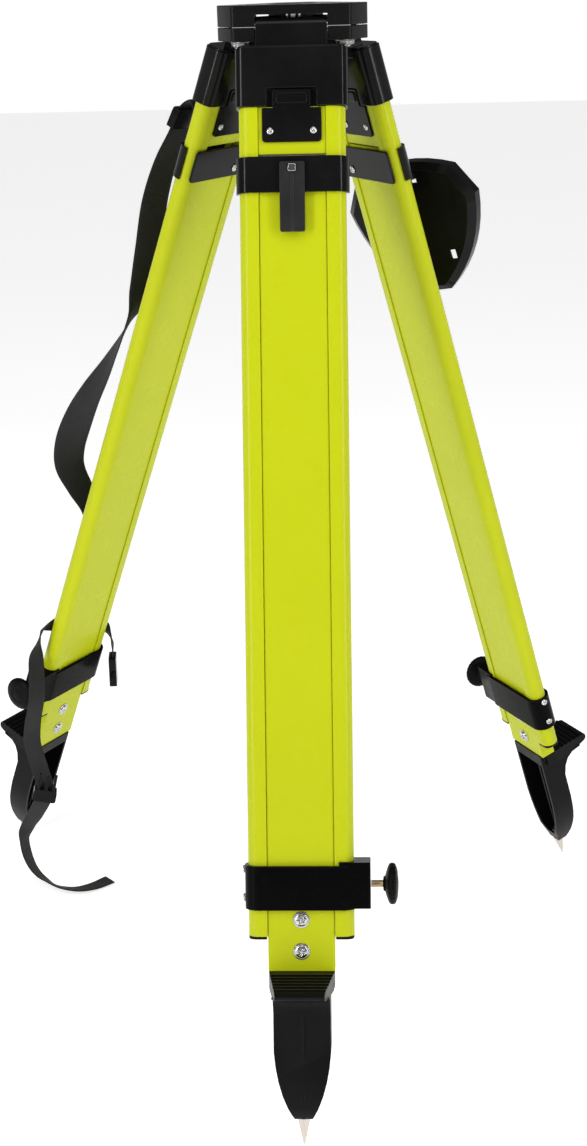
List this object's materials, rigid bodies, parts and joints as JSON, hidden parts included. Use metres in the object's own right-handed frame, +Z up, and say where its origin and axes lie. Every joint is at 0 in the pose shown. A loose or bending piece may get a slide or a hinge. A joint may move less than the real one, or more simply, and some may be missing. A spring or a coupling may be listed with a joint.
{
  "type": "surveyor tripod",
  "caption": "Standing tripod with a flat clamp-down head, telescopic twin-rail legs, side clamp knobs, pedal boots with steel points, a hanging head cover and straps.",
  "frame": {"origin": "on the floor, under the middle of the rigid pieces' box", "axes": "+Z up; the front leg points along -Y"},
  "size_m": [0.8066, 0.7004, 1.1358],
  "materials": {
    "lime_paint": "gloss lime paint on extruded aluminium",
    "black_casting": "satin black paint on cast aluminium",
    "black_plastic": "semi-gloss moulded plastic",
    "steel": "bright plated steel",
    "brass": "turned",
    "knob": "moulded grip on a plated screw",
    "webbing": "woven polyester webbing"
  },
  "bodies": {
    "head": {"head_casting": "black_casting", "pin_clamp_front_right": "black_casting", "pin_clamp_back": "black_casting", "pin_clamp_front_left": "black_casting", "hinge_pin_front": "steel", "hinge_pin_right": "steel", "hinge_pin_left": "steel"},
    "fixing_arm": {"fixing_arm": "steel"},
    "fixing_bush": {"fixing_bush": "brass"},
    "fixing_screw": {"fixing_screw": "steel"},
    "upper_leg_front": {"hinge_cap_front": "black_plastic", "hinge_plates_front": "black_plastic", "rail_left_front": "lime_paint", "rail_right_front": "lime_paint", "top_web_front": "lime_paint", "outer_band_front": "black_plastic", "inner_plate_front": "black_plastic", "leg_clamp_front": "black_plastic", "hook_tab_front": "black_plastic"},
    "lower_leg_front": {"sliding_panel_front": "lime_paint", "boot_front": "black_casting", "boot_bolt_upper_front": "steel", "boot_bolt_lower_front": "steel", "steel_point_front": "steel"},
    "knob_front": {"clamp_knob_front": "knob"},
    "upper_leg_right": {"hinge_cap_right": "black_plastic", "hinge_plates_right": "black_plastic", "rail_left_right": "lime_paint", "rail_right_right": "lime_paint", "top_web_right": "lime_paint", "outer_band_right": "black_plastic", "inner_plate_right": "black_plastic", "leg_clamp_right": "black_plastic", "hook_tab_right": "black_plastic"},
    "lower_leg_right": {"sliding_panel_right": "lime_paint", "boot_right": "black_casting", "boot_bolt_upper_right": "steel", "boot_bolt_lower_right": "steel", "steel_point_right": "steel"},
    "knob_right": {"clamp_knob_right": "knob"},
    "upper_leg_left": {"hinge_cap_left": "black_plastic", "hinge_plates_left": "black_plastic", "rail_left_left": "lime_paint", "rail_right_left": "lime_paint", "top_web_left": "lime_paint", "outer_band_left": "black_plastic", "inner_plate_left": "black_plastic", "leg_clamp_left": "black_plastic", "shoulder_strap": "webbing", "tie_strap": "webbing", "strap_slider": "black_plastic", "tie_buckle_socket": "black_plastic", "tie_buckle_plug": "black_plastic"},
    "lower_leg_left": {"sliding_panel_left": "lime_paint", "boot_left": "black_casting", "boot_bolt_upper_left": "steel", "boot_bolt_lower_left": "steel", "steel_point_left": "steel"},
    "knob_left": {"clamp_knob_left": "knob"},
    "head_cover": {"head_cover": "black_plastic"}
  },
  "joints": [
    {"name": "leg_spread_front", "type": "hinge", "parent": "head", "child": "upper_leg_front", "pos_m": [0.04305, 0.02965, 1.1138], "axis": [-1, 0, 0], "range_deg": [-18.07, 16.93]},
    {"name": "leg_extend_front", "type": "slide", "parent": "upper_leg_front", "child": "lower_leg_front", "axis": [0, -0.3102, -0.9507], "range_m": [-0.01055, 0.53945]},
    {"name": "knob_turn_front", "type": "hinge", "parent": "upper_leg_front", "child": "knob_front", "pos_m": [0.12305, -0.25554, 0.26226], "axis": [1, 0, 0], "range_deg": [0, 360]},
    {"name": "leg_spread_right", "type": "hinge", "parent": "head", "child": "upper_leg_right", "pos_m": [0.08462, 0.10165, 1.1138], "axis": [0.5, -0.866, 0], "range_deg": [-16.61, 18.39]},
    {"name": "leg_extend_right", "type": "slide", "parent": "upper_leg_right", "child": "lower_leg_right", "axis": [0.2476, 0.1429, -0.9583], "range_m": [-0.00108, 0.54892]},
    {"name": "knob_turn_right", "type": "hinge", "parent": "upper_leg_right", "child": "knob_right", "pos_m": [0.27273, 0.30264, 0.25527], "axis": [-0.5, 0.866, 0], "range_deg": [0, 360]},
    {"name": "leg_spread_left", "type": "hinge", "parent": "head", "child": "upper_leg_left", "pos_m": [0.00148, 0.10165, 1.1138], "axis": [0.5, 0.866, 0], "range_deg": [-21.94, 13.06], "deforming": ["tie_strap", "tie_buckle_socket", "tie_buckle_plug"]},
    {"name": "leg_extend_left", "type": "slide", "parent": "upper_leg_left", "child": "lower_leg_left", "axis": [-0.3236, 0.1868, -0.9276], "range_m": [-0.04026, 0.50974]},
    {"name": "knob_turn_left", "type": "hinge", "parent": "upper_leg_left", "child": "knob_left", "pos_m": [-0.33472, 0.20338, 0.28345], "axis": [-0.5, -0.866, 0], "range_deg": [0, 360]},
    {"name": "fixing_arm_swing", "type": "hinge", "parent": "head", "child": "fixing_arm", "pos_m": [0.04305, 0.10865, 1.1138], "axis": [0, 0, 1], "range_deg": [-20, 20]},
    {"name": "fixing_bush_slide", "type": "slide", "parent": "fixing_arm", "child": "fixing_bush", "axis": [0, 1, 0], "range_m": [-0.0115, 0.0115]},
    {"name": "fixing_screw_turn", "type": "hinge", "parent": "fixing_bush", "child": "fixing_screw", "pos_m": [0.04305, 0.07765, 1.1138], "axis": [0, 0, 1], "continuous": true},
    {"name": "cover_swing", "type": "hinge", "parent": "upper_leg_right", "child": "head_cover", "pos_m": [0.16959, 0.15903, 0.94499], "axis": [0.8607, -0.4866, 0.1498], "range_deg": [0, 30]}
  ]
}
